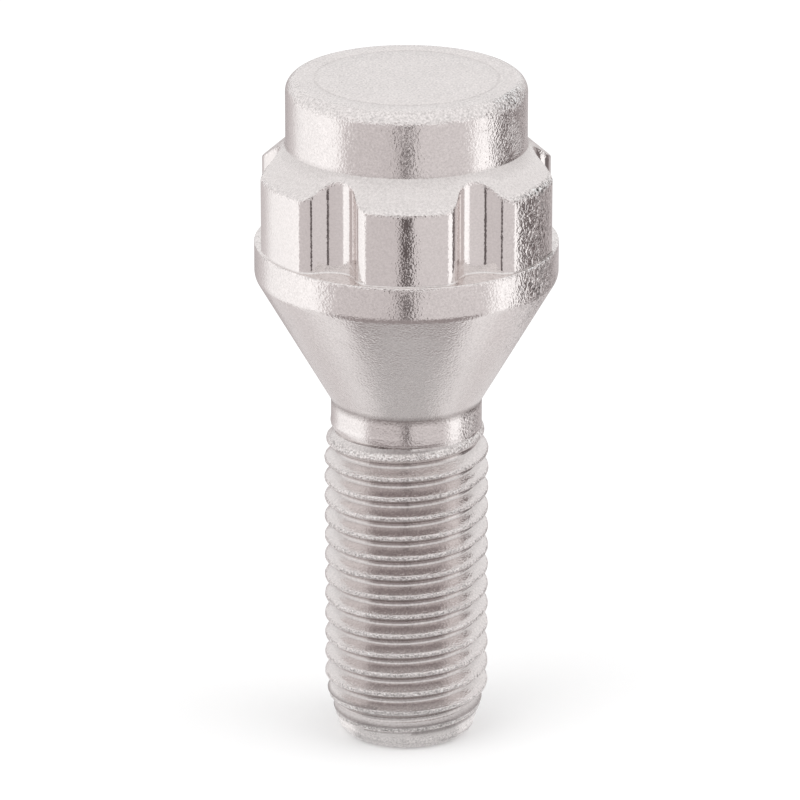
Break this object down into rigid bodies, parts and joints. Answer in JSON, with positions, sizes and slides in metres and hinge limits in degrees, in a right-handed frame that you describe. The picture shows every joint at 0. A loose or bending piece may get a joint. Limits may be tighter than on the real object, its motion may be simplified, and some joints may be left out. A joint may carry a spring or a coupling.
{
  "type": "wheel bolt",
  "caption": "Wheel bolt in one piece: a round cap over a grooved drive ring and flange, a conical seat, a plain neck and a threaded shank.",
  "frame": {"origin": "centre of the flat end face of the thread, on which the bolt stands", "axes": "+Z along the bolt's axis from the threaded end to the cap, -Y through the middle of one lug of the drive ring"},
  "size_m": [0.0216, 0.0216, 0.0493],
  "materials": {
    "zinc_plate": "bright zinc plate on forged steel, slightly satin"
  },
  "bodies": {
    "root": {"bolt": "zinc_plate"}
  },
  "joints": []
}
